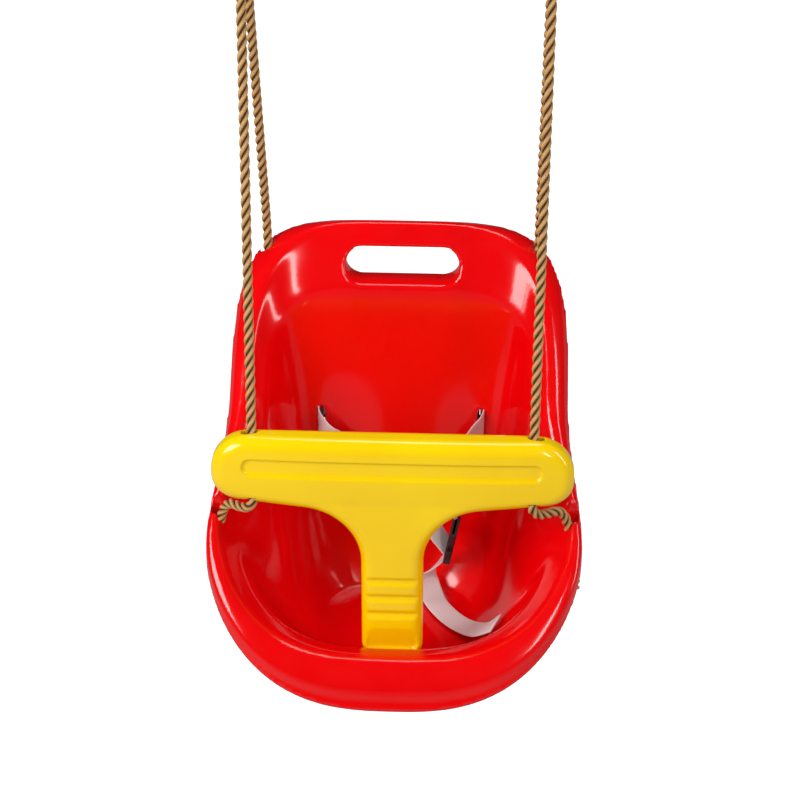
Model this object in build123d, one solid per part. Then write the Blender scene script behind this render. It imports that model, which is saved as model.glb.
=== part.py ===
from build123d import *
from collections import namedtuple
from math import cos, pi, radians, sin, tan
import os

# Toddler bucket swing: a hollow blow-moulded seat with a sliding T-shaped
# safety bar and a waist strap, hung at each side on one doubled rope.
#
# Every piece is drawn in the seat's own frame: x to the right seen from the
# front, y to the back, z up from the seat's flat underside.  Before it is
# written, each piece is moved so that the origin is the middle of the line
# on which the swing hangs.

# the hang
HANG_HEIGHT = 900.0        # hanging line above the seat's underside
HANG_BACK = 6.0            # hanging line behind the seat's middle, over its balance point
HANG_HALF_SPAN = 143.0     # hanging rings either side of the middle

# the seat's moulding
WALL = 3.0
FLOOR_Z = 40.0             # inside floor above the underside
SEAT_TOP = 437.0           # top of the backrest
FLANGE_HALF_BACK = 176.0   # half the width over the flange, at the backrest
FLANGE_HALF_ARM = 200.0    # half the width over the flange, at the armrests
FLANGE_FRONT = -175.0      # front of the lip
FLANGE_BACK = 159.0        # back of the backrest's rim
FLANGE_FRONT_Z = 41.0
BACK_SHELF_DROP = 9.0      # flange below the top of the backrest
LIP_RISE = 49.0            # crest of the lip above the flange's front edge
SHELF_BACK = 23.0          # crest of the rim inside the flange's edge, at the backrest
SHELF_ARM = 14.0           # the same at the armrests
SHELF_FRONT = 25.0         # the same at the lip
ROLL_BULGE = 5.0           # roundness of the rim between its crest and the flange
RIM_BACK = 18.0            # crest of the rim to its inside edge, at the backrest
RIM_ARM = 20.0
RIM_FRONT = 31.0
RIM_DEPTH = 25.0           # the same at the top of the backrest
LEDGE_DROP = 63.0          # the ledge over the backrest's panel, below its top
UNDER_INSET = 18.0         # root of the flange inside its edge
UNDER_FRONT = 36.0         # the same at the lip
UNDER_DROP = 20.0          # root of the flange below its edge
ARM_SWELL = 6.0            # armrests stand this much above the straight rim line
BASE_HALF = 96.0
BASE_FRONT = -110.0
BASE_BACK = 96.0
HEM = 9.0                  # rounding between the underside and the outer wall
HALF_STATIONS = 14         # steps round half of each moulding line

HAND_HOLE_WIDTH = 117.0
HAND_HOLE_HEIGHT = 34.0
HAND_HOLE_Z = 394.0
STRAP_SLOT_X = 84.0
STRAP_SLOT_Z = 225.0
STRAP_SLOT_WIDTH = 6.0
STRAP_SLOT_HEIGHT = 30.0
THROUGH = 260.0            # longer than any wall that a cutter passes

# the rope
ROPE_D = 10.0
ROPE_HOLE_D = 13.0         # rope holes in the seat's flange
ROPE_HOLE_LENGTH = 70.0
MOUTH_R = 16.0             # bend of the rope over the edge of a hole
MOUTH_DROP = 11.0          # from the edge of a hole to the corner of that bend
BAR_MOUTH_DROP = 16.0      # the same below the safety bar
ROPE_GAP = 0.3             # between the rope and what it passes through
ARM_HOLE = (180.0, -52.0)  # front rope hole, in the armrest's flange
ARM_HOLE_Z = 204.0
SHOULDER_HOLE = (140.0, 135.0)   # rear rope hole, in the shoulder's flange
SHOULDER_HOLE_Z = 405.0
KNOT_D = 22.0
KNOT_H = 22.0
TAIL_H = 18.0
ARM_KNOT_Z = 134.0         # top of the front knot
SHOULDER_KNOT_Z = 368.0    # top of the rear knot

# the safety bar
BAR_Y = -95.0              # middle of the bar's thickness
BAR_DEPTH = 35.0
BAR_EDGE_R = 12.0
BAR_HALF_WIDTH = 178.0
BAR_TOP = 312.0
BAR_END_BOTTOM = 243.0
BAR_ROOT_Z = 228.0
BAR_TOP_R = 38.0
BAR_BOTTOM_R = 27.0
BAR_ROOT_R = 62.0
STEM_HALF_WIDTH = 31.0
STEM_BOTTOM = 62.0
STEM_BOTTOM_R = 13.0
GROOVE_HALF_LENGTH = 147.0
GROOVE_HEIGHT = 18.0
GROOVE_Z = 281.5
GROOVE_DEPTH = 3.0
FIRST_RIB_Z = 154.0
RIB_PITCH = 19.5
RIB_GROOVES = 3
RIB_GROOVE_R = 5.0
RIB_GROOVE_DEPTH = 2.4
SCOOP_HALF_WIDTH = 26.0
SCOOP_TOP = 101.0
SCOOP_HEIGHT = 30.0
SCOOP_DEPTH = 6.0
SCOOP_TILT = 14.0
STEM_GAP = 1.0             # round the stem in the seat's notch
STEM_REST_GAP = 0.3
NOTCH_BACK = 30.0          # open space behind the stem
NOTCH_HEIGHT = 90.0
TUNNEL_X = 137.3           # rope tunnels through the bar's ends
TUNNEL_BACK = -6.0         # foot of a tunnel from the middle of the bar's thickness
TUNNEL_MOUTH_R = 9.5       # flare at the foot of a tunnel
TUNNEL_MOUTH_H = 28.0
TUNNEL_SPREAD = 4.8        # how far the ropes lean apart over the bar's travel
LOOSEST_BEND = 0.45        # share of a run of rope that a bend may use

# the hanging fittings
RING_ROD_D = 10.0
RING_WIDTH = 54.0          # over the rod's middle
RING_HEIGHT = 45.0
RING_FOOT_R = 8.0
EYE_R = 12.0               # inside of the thimble's crown
EYE_METAL = 2.5
THIMBLE_WIDTH = 14.0
THIMBLE_CHEEK = 1.6
THIMBLE_CHEEK_H = 3.5
THIMBLE_TIP = 34.0         # tip below the crown's middle
THIMBLE_CUT = 0.9          # share of the tip that is kept
CROWN_TURNS = (-80, -28, 28, 80)   # corners of the rope's route over the crown, in degrees
CROWN_STEP = 26.3          # half the largest turn between them
FERRULE_TOP = 60.0         # below the hanging line
FERRULE_H = 20.0
FERRULE_WALL = 2.0
FERRULE_GAP = 0.1
LEG_GAP = 0.6              # between the two legs of rope in the ferrule

# the waist strap and its buckle
WEB_WIDTH = 25.0
WEB_THICK = 1.4
WEB_PLAY = 1.5             # slots for the webbing are this much wider
SLOT_FRONT_Y = 84.0        # backrest's front face at the strap slots
STOP_Y = 134.0             # front of the strap stops, just behind the backrest
STOP_WIDTH = 38.0
STOP_HEIGHT = 26.0
STOP_THICK = 3.5
BUCKLE_WIDTH = 34.0
BUCKLE_THICK = 8.0
SOCKET_LENGTH = 27.0
PLUG_LENGTH = 14.0
PRONG_LENGTH = 18.0
PRONG_WIDTH = 4.5
PRONG_THICK = 4.0
BUCKLE_WALL = 1.8
BUCKLE_CORNER = 3.0
BUCKLE_TOP = (60.0, 34.0, 134.0)
BUCKLE_FOOT = (52.0, 44.0, 87.0)

SIDES = {"left": -1, "right": 1}

# One closed line of the moulding, level or tilted from a low front to a high
# back: half widths, the front and back ends, the fullness of its corners,
# and the way in which the plastic lies from it (outward, upward).
Line3 = namedtuple("Line3", "half_back half_arm front back front_z back_z full_back full_front swell inward")


def smooth(t):
    """Goes from 0 to 1 without a corner."""
    t = min(max(t, 0.0), 1.0)
    return t * t * (3 - 2 * t)


def seat_lines():
    """The moulding's lines, from the inside floor over the rim to the underside."""
    flange_back_z = SEAT_TOP - BACK_SHELF_DROP
    crest = Line3(
        FLANGE_HALF_BACK - SHELF_BACK, FLANGE_HALF_ARM - SHELF_ARM,
        FLANGE_FRONT + SHELF_FRONT, FLANGE_BACK - SHELF_BACK + 2,
        FLANGE_FRONT_Z + LIP_RISE, SEAT_TOP, 3.8, 3.2, ARM_SWELL, (0, -1),
    )
    edge = Line3(
        crest.half_back - RIM_BACK, crest.half_arm - RIM_ARM,
        crest.front + RIM_FRONT, crest.back - RIM_DEPTH,
        crest.front_z - 8, SEAT_TOP - LEDGE_DROP, 4.4, 3.0, ARM_SWELL, (0.9, -0.4),
    )
    cove = Line3(104, 112, -103, 80, FLOOR_Z + 14, FLOOR_Z + 36, 3.4, 2.8, 0, (0.7, -0.7))
    floor = Line3(82, 84, -86, 62, FLOOR_Z, FLOOR_Z, 3.0, 2.6, 0, (0, -1))
    flange = Line3(
        FLANGE_HALF_BACK, FLANGE_HALF_ARM, FLANGE_FRONT, FLANGE_BACK,
        FLANGE_FRONT_Z, flange_back_z, 4.8, 2.75, ARM_SWELL, (-1, 0),
    )
    under = Line3(
        flange.half_back - UNDER_INSET, flange.half_arm - UNDER_INSET,
        flange.front + UNDER_FRONT, flange.back - UNDER_INSET / 2,
        FLANGE_FRONT_Z - UNDER_DROP, flange_back_z - UNDER_DROP - 4, 4.4, 2.8, ARM_SWELL, (-0.7, 0.7),
    )
    hem = Line3(
        BASE_HALF + HEM, BASE_HALF + HEM, BASE_FRONT - HEM, BASE_BACK + HEM,
        HEM, HEM, 3.0, 2.5, 0, (-0.7, 0.7),
    )
    base = Line3(BASE_HALF, BASE_HALF, BASE_FRONT, BASE_BACK, 0, 0, 2.8, 2.5, 0, (0, 1))
    wall = between(cove, edge, 0.5, 4)
    roll = between(crest, flange, 0.5, ROLL_BULGE)._replace(inward=(-0.7, -0.7))
    outer = between(hem, under, 0.5, 3)
    return [floor, cove, wall, edge, crest, roll, flange, under, outer, hem, base]


def between(low, high, share, bulge):
    """A line part of the way from one to another, pushed out by a bulge."""
    mixed = [a + (b - a) * share for a, b in zip(low[:9], high[:9])]
    mixed[0] += bulge
    mixed[1] += bulge
    mixed[2] -= bulge
    out = 1 if low.inward[0] >= 0 else -1
    return Line3(*mixed, (out, 0))


def line_points(line, wall):
    """Points round one line, moved into the plastic by the wall."""
    grow = line.inward[0] * wall
    lift = line.inward[1] * wall
    points = []
    for step in range(2 * HALF_STATIONS):
        turn = pi * step / HALF_STATIONS
        ahead, aside = cos(turn), sin(turn)
        full = line.full_back if ahead > 0 else line.full_front
        reach = (abs(ahead) ** full + abs(aside) ** full) ** (-1 / full)
        q = ahead * reach
        arm = smooth((0.25 - q) / 0.8)
        half = line.half_back + (line.half_arm - line.half_back) * arm + grow
        middle = (line.front + line.back) / 2
        y = middle + q * ((line.back - line.front) / 2 + grow)
        z = (line.front_z + line.back_z) / 2 + q * (line.back_z - line.front_z) / 2
        if q < 0:
            z += 4 * line.swell * q * q * (1 - q * q)
        points.append(Vector(half * aside * reach, y, z + lift))
    return points


def moulding(wall):
    """The seat's outer skin, or with a wall the space between its two skins."""
    rings = [Wire.make_polygon(line_points(line, wall), close=True) for line in seat_lines()]
    return Solid.make_loft(rings, ruled=True)


def through_back(length, breadth, x, z, turn):
    """A rounded slot that passes the backrest from front to back."""
    slot = Plane.XZ.offset(-THROUGH) * Pos(x, z) * SlotOverall(length, breadth, rotation=turn)
    return extrude(slot, amount=THROUGH)


def rope_hole(place, radius):
    """An upright hole through the flange."""
    x, y, z = place
    return Pos(x, y, z) * Cylinder(radius, ROPE_HOLE_LENGTH)


def notch(gap):
    """Room for the foot of the safety bar behind the lip."""
    width = 2 * (STEM_HALF_WIDTH + gap)
    depth = BAR_DEPTH + gap + NOTCH_BACK
    front = BAR_Y - BAR_DEPTH / 2 - gap
    block = Box(width, depth, NOTCH_HEIGHT, align=(Align.CENTER, Align.MIN, Align.MIN))
    return Pos(0, front, STEM_BOTTOM - STEM_REST_GAP - (gap - STEM_GAP)) * block


def seat_holes(margin):
    """Every hole in the seat, grown by a margin."""
    holes = through_back(HAND_HOLE_WIDTH + 2 * margin, HAND_HOLE_HEIGHT + 2 * margin, 0, HAND_HOLE_Z, 0)
    holes += notch(STEM_GAP + margin)
    for side in SIDES.values():
        holes += through_back(
            STRAP_SLOT_HEIGHT + 2 * margin, STRAP_SLOT_WIDTH + 2 * margin,
            side * STRAP_SLOT_X, STRAP_SLOT_Z, 90,
        )
        radius = ROPE_HOLE_D / 2 + margin
        holes += rope_hole((side * ARM_HOLE[0], ARM_HOLE[1], ARM_HOLE_Z), radius)
        holes += rope_hole((side * SHOULDER_HOLE[0], SHOULDER_HOLE[1], SHOULDER_HOLE_Z), radius)
    return holes


def seat_shell():
    """The double-walled bucket seat."""
    space = moulding(WALL) - seat_holes(WALL)
    return moulding(0) - seat_holes(0) - space


def bar_outline(inset):
    """The safety bar seen from the front."""
    half = BAR_HALF_WIDTH - inset
    stem = STEM_HALF_WIDTH - inset
    top = BAR_TOP - inset
    end_bottom = BAR_END_BOTTOM + inset
    root = BAR_ROOT_Z + inset
    foot = STEM_BOTTOM + inset
    points = [
        (-half, top), (half, top), (half, end_bottom), (stem, root),
        (stem, foot), (-stem, foot), (-stem, root), (-half, end_bottom),
    ]
    shape = Plane.XZ * make_face(Polyline(*points, close=True))
    corners = shape.vertices()
    shape = fillet([v for v in corners if v.Z > BAR_TOP - 10], BAR_TOP_R - inset)
    ends = [v for v in shape.vertices() if abs(v.X) > half - 1 and abs(v.Z - end_bottom) < 1]
    shape = fillet(ends, BAR_BOTTOM_R - inset)
    roots = [v for v in shape.vertices() if abs(abs(v.X) - stem) < 1 and abs(v.Z - root) < 1]
    shape = fillet(roots, BAR_ROOT_R + inset)
    feet = [v for v in shape.vertices() if abs(v.Z - foot) < 1]
    return fillet(feet, STEM_BOTTOM_R - inset)


def bar_block(inset, front_inset):
    """A rounded slab of the bar's outline."""
    depth = BAR_DEPTH - inset - front_inset
    middle = BAR_Y + (front_inset - inset) / 2
    slab = Pos(0, middle, 0) * extrude(bar_outline(inset), amount=depth / 2, both=True)
    rims = [e for e in slab.edges() if e.bounding_box().size.Y < 0.01]
    return fillet(rims, BAR_EDGE_R - inset)


def bar_front():
    """The plane of the bar's front face."""
    return BAR_Y - BAR_DEPTH / 2


def groove(margin):
    """The long shallow groove in the crossbar's face."""
    slot = SlotOverall(2 * (GROOVE_HALF_LENGTH + margin), GROOVE_HEIGHT + 2 * margin)
    face = Plane.XZ.offset(-bar_front()) * Pos(0, GROOVE_Z) * slot
    return extrude(face, amount=GROOVE_DEPTH + margin, both=True)


def rib_grooves(margin):
    """Finger grooves across the stem."""
    cuts = []
    for number in range(RIB_GROOVES):
        z = FIRST_RIB_Z - number * RIB_PITCH
        y = bar_front() + RIB_GROOVE_DEPTH - RIB_GROOVE_R
        rod = Rot(0, 90, 0) * Cylinder(RIB_GROOVE_R + margin, 4 * STEM_HALF_WIDTH)
        cuts.append(Pos(0, y, z) * rod)
    return cuts


def scoop(margin):
    """The finger scoop at the foot of the stem."""
    block = Box(2 * (SCOOP_HALF_WIDTH + margin), SCOOP_DEPTH + 2 * margin, SCOOP_HEIGHT + 2 * margin)
    block = fillet(block.edges().filter_by(Axis.Y), SCOOP_DEPTH)
    return Pos(0, bar_front(), SCOOP_TOP - SCOOP_HEIGHT / 2) * Rot(SCOOP_TILT, 0, 0) * block


def leg_line():
    """Foot and head of the straight front leg of rope, on the right side."""
    foot = Vector(TUNNEL_X, BAR_Y + TUNNEL_BACK, BAR_END_BOTTOM)
    head = Vector(HANG_HALF_SPAN, HANG_BACK - leg_offset(), HANG_HEIGHT - FERRULE_TOP - FERRULE_H)
    return foot, head


def leg_offset():
    """How far each leg of rope is from the middle of its ferrule."""
    return (ROPE_D + LEG_GAP) / 2


def tunnel_radius():
    """The radius of a rope tunnel, with room for the rope to slide."""
    return ROPE_D / 2 + 2 * ROPE_GAP


def tunnel(side, radius):
    """The slanted tunnel for a leg of rope, widened by the legs' spread."""
    foot, head = leg_line()
    along = (head - foot).normalized()
    middle = foot + along * (BAR_TOP - BAR_END_BOTTOM) / 2
    place = Plane(origin=(middle.X, middle.Y, middle.Z), x_dir=(1, 0, 0), z_dir=(0, along.Y, along.Z))
    slot = Pos(TUNNEL_SPREAD / 2, 0) * SlotOverall(2 * radius + TUNNEL_SPREAD, 2 * radius)
    cut = extrude(place * slot, amount=THROUGH / 3, both=True)
    flare = radius - tunnel_radius()
    cone = Cone(TUNNEL_MOUTH_R + flare, radius, TUNNEL_MOUTH_H)
    cut += Pos(foot.X, foot.Y, foot.Z + TUNNEL_MOUTH_H / 2 - 1) * cone
    return cut if side > 0 else mirror(cut, about=Plane.YZ)


def t_bar():
    """The hollow T-shaped safety bar."""
    space = bar_block(WALL, WALL + GROOVE_DEPTH)
    bar = bar_block(0, 0)
    radius = tunnel_radius()
    for side in SIDES.values():
        space -= tunnel(side, radius + WALL)
        bar -= tunnel(side, radius)
    for cut in rib_grooves(0) + [scoop(0), groove(0)]:
        bar -= cut
    return bar - (space - scoop(WALL))


def route(side):
    """The rope's points from the front knot over the ring to the rear knot."""
    foot, head = leg_line()
    bend_corner = foot - (head - foot).normalized() * BAR_MOUTH_DROP
    rise = HANG_HEIGHT - (EYE_R - RING_ROD_D / 2 - ROPE_GAP)
    bend = EYE_R + EYE_METAL + ROPE_D / 2
    offset = leg_offset()
    top = HANG_HEIGHT - FERRULE_TOP
    points = [
        (ARM_HOLE[0], ARM_HOLE[1], ARM_KNOT_Z),
        (ARM_HOLE[0], ARM_HOLE[1], ARM_HOLE_Z + MOUTH_DROP),
        (bend_corner.X, bend_corner.Y, bend_corner.Z),
        (head.X, HANG_BACK - offset, head.Z),
        (head.X, HANG_BACK - offset, top),
    ]
    for turn in CROWN_TURNS:
        reach = bend / cos(radians(CROWN_STEP))
        points.append((head.X, HANG_BACK + reach * sin(radians(turn)), rise + reach * cos(radians(turn))))
    points += [
        (head.X, HANG_BACK + offset, top),
        (head.X, HANG_BACK + offset, head.Z),
        (SHOULDER_HOLE[0], SHOULDER_HOLE[1], SHOULDER_HOLE_Z + MOUTH_DROP),
        (SHOULDER_HOLE[0], SHOULDER_HOLE[1], SHOULDER_KNOT_Z),
    ]
    return [Vector(side * x, y, z) for x, y, z in points]


def corner_radii(points):
    """As large a radius as the two runs allow, or a hole's edge at the first two corners."""
    radii = []
    for before, here, after in zip(points, points[1:], points[2:]):
        turn = (here - before).get_angle(after - here)
        shorter = min((here - before).length, (after - here).length)
        radii.append(LOOSEST_BEND * shorter / tan(radians(turn) / 2))
    return [MOUTH_R, MOUTH_R] + radii[2:]


def rope(name, side):
    """One doubled rope, as straight runs joined by tangent arcs."""
    points = route(side)
    radii = corner_radii(points)
    path = FilletPolyline(*points, radius=radii)
    start = Plane(origin=path @ 0, z_dir=path % 0)
    tube = sweep(start * Circle(ROPE_D / 2), path=path)
    expected = pi * ROPE_D ** 2 / 4 * path.length
    print(name, "radii", [round(r) for r in radii], "length", round(path.length))
    print(name, "volume against section times length", round(tube.volume / expected, 4))
    return tube


def knot(side, place, top):
    """The outer shape of a stopper knot, with the tail below it."""
    ball = fillet(Cylinder(KNOT_D / 2, KNOT_H).edges(), KNOT_H / 2 - 2)
    tail = Pos(0, 0, -(KNOT_H + TAIL_H) / 2) * Cylinder(ROPE_D / 2, TAIL_H + 1)
    return Pos(side * place[0], place[1], top - KNOT_H / 2) * (ball + tail)


def hanging_ring(side):
    """A D-shaped ring of round rod that hangs from the swing frame."""
    half = RING_WIDTH / 2
    corners = [(-half, 0), (half, 0), (half, RING_HEIGHT), (-half, RING_HEIGHT)]
    points = [Vector(x, 0, z) for x, z in corners]
    shoulder = half - ROPE_GAP
    path = FilletPolyline(*points, radius=[RING_FOOT_R, RING_FOOT_R, shoulder, shoulder], close=True)
    rod = sweep(Plane(origin=path @ 0, z_dir=path % 0) * Circle(RING_ROD_D / 2), path=path)
    return Pos(side * HANG_HALF_SPAN, HANG_BACK, HANG_HEIGHT) * rod


def drop_shape(radius):
    """A round crown drawn down to a tip."""
    tip = -THIMBLE_TIP * radius / EYE_R
    reach = radius * radius / abs(tip)
    side = (radius ** 2 - reach ** 2) ** 0.5
    return Circle(radius) + make_face(Polyline((-side, -reach), (side, -reach), (0, tip), close=True))


def thimble(side):
    """The grooved eye that the rope bends round."""
    place = Plane.YZ
    outer = EYE_R + EYE_METAL
    body = extrude(place * drop_shape(outer), amount=THIMBLE_WIDTH / 2, both=True)
    cheek = extrude(place * drop_shape(outer + THIMBLE_CHEEK_H), amount=THIMBLE_WIDTH / 2, both=True)
    channel = THIMBLE_WIDTH / 2 - THIMBLE_CHEEK
    cheek -= extrude(place * drop_shape(outer + 2 * THIMBLE_CHEEK_H), amount=channel, both=True)
    hole = extrude(place * drop_shape(EYE_R), amount=THIMBLE_WIDTH, both=True)
    keep = Pos(0, 0, EYE_R) * Box(4 * outer, 4 * outer, 2 * (EYE_R + THIMBLE_TIP * THIMBLE_CUT))
    middle = HANG_HEIGHT - (EYE_R - RING_ROD_D / 2 - ROPE_GAP)
    return Pos(side * HANG_HALF_SPAN, HANG_BACK, middle) * (((body + cheek) - hole) & keep)


def ferrule(side):
    """The pressed sleeve that holds both legs of rope together."""
    bore = ROPE_D / 2 + FERRULE_GAP
    outer = bore + FERRULE_WALL
    wide = 2 * leg_offset()
    sleeve = extrude(SlotOverall(wide + 2 * outer, 2 * outer, rotation=90), amount=FERRULE_H)
    hole = extrude(SlotOverall(wide + 2 * bore, 2 * bore, rotation=90), amount=FERRULE_H)
    place = Pos(side * HANG_HALF_SPAN, HANG_BACK, HANG_HEIGHT - FERRULE_TOP - FERRULE_H)
    return place * (sleeve - hole)


def ribbon(stations):
    """A strap through stations, each a middle point and the way its width lies."""
    rings = []
    for number, (middle, across) in enumerate(stations):
        before = Vector(stations[max(number - 1, 0)][0])
        after = Vector(stations[min(number + 1, len(stations) - 1)][0])
        along = (after - before).normalized()
        wide = Vector(across)
        wide = (wide - along * wide.dot(along)).normalized()
        thick = along.cross(wide) * (WEB_THICK / 2)
        wide = wide * (WEB_WIDTH / 2)
        here = Vector(middle)
        top = [here + wide + thick, here - wide + thick]
        bottom = [here - wide - thick, here + wide - thick]
        rings.append(Wire.make_polygon(top + bottom))
    return Solid.make_loft(rings, ruled=True)


def strap_left():
    """The left length of webbing, from its stop behind the backrest to the buckle's plug."""
    x, z = STRAP_SLOT_X, STRAP_SLOT_Z
    upright = (0, 0, 1)
    return ribbon([
        ((54, 42, 99), (0.2, 1, 0.3)), ((45, 44, 112), (0.1, 1, 0.6)), ((28, 48, 134), (0.1, 0.8, 0.8)),
        ((0, 56, 156), (0.2, 0.6, 0.9)), ((-30, 66, 178), (0.3, 0.4, 0.9)),
        ((-56, 78, 197), (0.2, 0.2, 0.95)),
        ((6 - x, SLOT_FRONT_Y - 7, z - 6), upright), ((-x, SLOT_FRONT_Y, z), upright),
        ((-x, STOP_Y + STOP_THICK, z), upright),
    ])


def strap_right():
    """The right length of webbing, from its stop behind the backrest to the buckle's socket."""
    x, z = STRAP_SLOT_X, STRAP_SLOT_Z
    upright = (0, 0, 1)
    return ribbon([
        ((x, STOP_Y + STOP_THICK, z), upright), ((x, SLOT_FRONT_Y, z), upright),
        ((x - 6, SLOT_FRONT_Y - 7, z - 6), upright), ((68, 66, 200), (-0.1, 0.4, 0.9)),
        ((62, 50, 166), (0.1, 0.9, 0.3)), ((60.5, 36, 141), (0.1, 1, 0.1)),
    ])


def strap_stop(side):
    """A slotted plate on the end of the webbing, too wide to go through the backrest."""
    plate = extrude(RectangleRounded(STOP_WIDTH, STOP_HEIGHT, BUCKLE_CORNER), amount=STOP_THICK)
    middle = extrude(Rectangle(WEB_WIDTH + WEB_PLAY, WEB_THICK + 1.2), amount=STOP_THICK)
    spare = extrude(Pos(0, 8) * Rectangle(WEB_WIDTH + WEB_PLAY, 3), amount=STOP_THICK)
    place = Pos(side * STRAP_SLOT_X, STOP_Y, STRAP_SLOT_Z) * Rot(-90, 0, 0) * Rot(0, 0, 90)
    return place * (plate - middle - spare)


def strap_tail():
    """The loose end of the webbing, from the plug to the seat's floor."""
    stations = [
        ((53, 43.5, 92.5), (0.3, 1, 0)), ((41, 47, 78), (0.5, 0.9, 0.2)), ((31, 47, 62), (0.8, 0.6, 0.2)),
        ((36, 37, 46), (1, 0.4, 0)), ((50, 6, 44), (0.85, 0.5, 0)), ((70, -22, 46), (0.8, 0.55, 0.1)),
        ((89, -46, 57), (0.7, 0.65, 0.3)), ((105, -63, 77), (0.4, 0.9, 0.3)),
    ]
    return ribbon(stations)


def buckle_plane(share):
    """A plane across the buckle, part of the way from its top to its foot."""
    top, foot = Vector(*BUCKLE_TOP), Vector(*BUCKLE_FOOT)
    along = (foot - top).normalized()
    middle = top + along * share
    return Plane(origin=(middle.X, middle.Y, middle.Z), x_dir=(0.1, 1, 0), z_dir=(along.X, along.Y, along.Z))


def buckle_socket():
    """The hollow half of the buckle, with side windows and a strap bar."""
    place = buckle_plane(0)
    body = extrude(place * RectangleRounded(BUCKLE_WIDTH, BUCKLE_THICK, BUCKLE_CORNER), amount=SOCKET_LENGTH)
    inside = RectangleRounded(BUCKLE_WIDTH - 2 * BUCKLE_WALL, BUCKLE_THICK - 2 * BUCKLE_WALL, 1.5)
    mouth = extrude(buckle_plane(8) * inside, amount=SOCKET_LENGTH)
    eye = extrude(buckle_plane(4) * Rectangle(WEB_WIDTH + WEB_PLAY, 3.2), amount=4)
    side_window = Rectangle(BUCKLE_WIDTH * 2, BUCKLE_THICK - 2 * BUCKLE_WALL)
    window = extrude(buckle_plane(15) * side_window, amount=8)
    strap_slot = extrude(place * Rectangle(WEB_WIDTH + WEB_PLAY, 2.4), amount=5)
    return body - mouth - eye - window - strap_slot


def buckle_plug():
    """The half with two prongs that click into the socket."""
    place = buckle_plane(SOCKET_LENGTH + 0.4)
    head = extrude(place * RectangleRounded(BUCKLE_WIDTH, BUCKLE_THICK, BUCKLE_CORNER), amount=PLUG_LENGTH)
    strap_room = Rectangle(WEB_WIDTH + WEB_PLAY, 4.6)
    bar_slot = extrude(buckle_plane(SOCKET_LENGTH + 6) * strap_room, amount=PLUG_LENGTH)
    head -= bar_slot
    reach = BUCKLE_WIDTH / 2 - BUCKLE_WALL - PRONG_WIDTH / 2 - 0.6
    start = buckle_plane(SOCKET_LENGTH + 0.6 - PRONG_LENGTH)
    for side in SIDES.values():
        prong = Pos(side * reach, 0) * Rectangle(PRONG_WIDTH, PRONG_THICK)
        head += extrude(start * prong, amount=PRONG_LENGTH)
    return head


def nodes():
    """Each piece by name."""
    pieces = {
        "seat_shell": seat_shell(),
        "t_bar": t_bar(),
        "strap_left": strap_left(),
        "strap_right": strap_right(),
        "strap_tail": strap_tail(),
        "buckle_socket": buckle_socket(),
        "buckle_plug": buckle_plug(),
    }
    for word, side in SIDES.items():
        pieces[f"rope_{word}"] = rope(word, side)
        pieces[f"knot_front_{word}"] = knot(side, ARM_HOLE, ARM_KNOT_Z)
        pieces[f"knot_rear_{word}"] = knot(side, SHOULDER_HOLE, SHOULDER_KNOT_Z)
        pieces[f"strap_stop_{word}"] = strap_stop(side)
        pieces[f"hanging_ring_{word}"] = hanging_ring(side)
        pieces[f"thimble_{word}"] = thimble(side)
        pieces[f"ferrule_{word}"] = ferrule(side)
    return pieces


def main():
    """Writes each piece in the frame of the hanging line."""
    os.makedirs("parts", exist_ok=True)
    place = Pos(0, -HANG_BACK, -HANG_HEIGHT)
    for name, piece in nodes().items():
        export_step(place * piece, f"parts/{name}.step")


main()
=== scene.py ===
"""Looks for a toddler bucket swing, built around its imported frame."""

import logging
import math
from dataclasses import dataclass, field, replace
from enum import Enum
from typing import Iterable, Sequence

import bmesh
import bpy
import numpy as np
from mathutils import Matrix, Vector


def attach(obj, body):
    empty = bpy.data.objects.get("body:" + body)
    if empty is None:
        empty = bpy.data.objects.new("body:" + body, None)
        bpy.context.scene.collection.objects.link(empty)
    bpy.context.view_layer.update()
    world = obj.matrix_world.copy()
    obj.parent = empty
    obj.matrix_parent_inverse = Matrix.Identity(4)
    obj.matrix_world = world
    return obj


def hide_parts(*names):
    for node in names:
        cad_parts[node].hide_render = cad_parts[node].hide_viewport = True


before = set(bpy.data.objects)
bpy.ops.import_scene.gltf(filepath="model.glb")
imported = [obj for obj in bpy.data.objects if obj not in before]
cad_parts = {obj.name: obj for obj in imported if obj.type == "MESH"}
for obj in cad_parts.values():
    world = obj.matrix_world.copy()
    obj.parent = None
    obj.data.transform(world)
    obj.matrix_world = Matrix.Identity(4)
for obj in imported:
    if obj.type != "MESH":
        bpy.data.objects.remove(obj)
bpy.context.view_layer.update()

logging.basicConfig(level=logging.INFO, format="%(message)s")
LOG = logging.getLogger("swing")

MM = 0.001
HANG_HEIGHT = 900.0  # hanging line above the seat's underside, mm
HANG_BACK = 6.0  # hanging line behind the seat's middle, mm

Point = tuple[float, float, float]
Grid = np.ndarray


class Body(Enum):
    """The bodies of the frame."""

    HANGERS = "hangers"
    SWING = "swing"
    BAR = "safety_bar"


class Side(Enum):
    """Left and right seen from the front."""

    LEFT = -1
    RIGHT = 1

    @property
    def word(self) -> str:
        """The side's name in node names."""
        return self.name.lower()


def place(point: Sequence[float]) -> Vector:
    """Moves a point from the seat's millimetres to the frame.

    Args:
        point: x, y, z in millimetres, z up from the seat's underside.

    Returns:
        The point in metres from the hanging line.
    """
    x, y, z = point
    return Vector((x * MM, (y - HANG_BACK) * MM, (z - HANG_HEIGHT) * MM))


def smooth_step(t: float) -> float:
    """Goes from 0 to 1 without a corner."""
    t = min(max(t, 0.0), 1.0)
    return t * t * (3 - 2 * t)


# ------------------------------------------------------------------ meshes


def add_object(name: str, mesh: bpy.types.Mesh) -> bpy.types.Object:
    """Links a mesh to the scene under a name."""
    piece = bpy.data.objects.new(name, mesh)
    bpy.context.scene.collection.objects.link(piece)
    return piece


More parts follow.
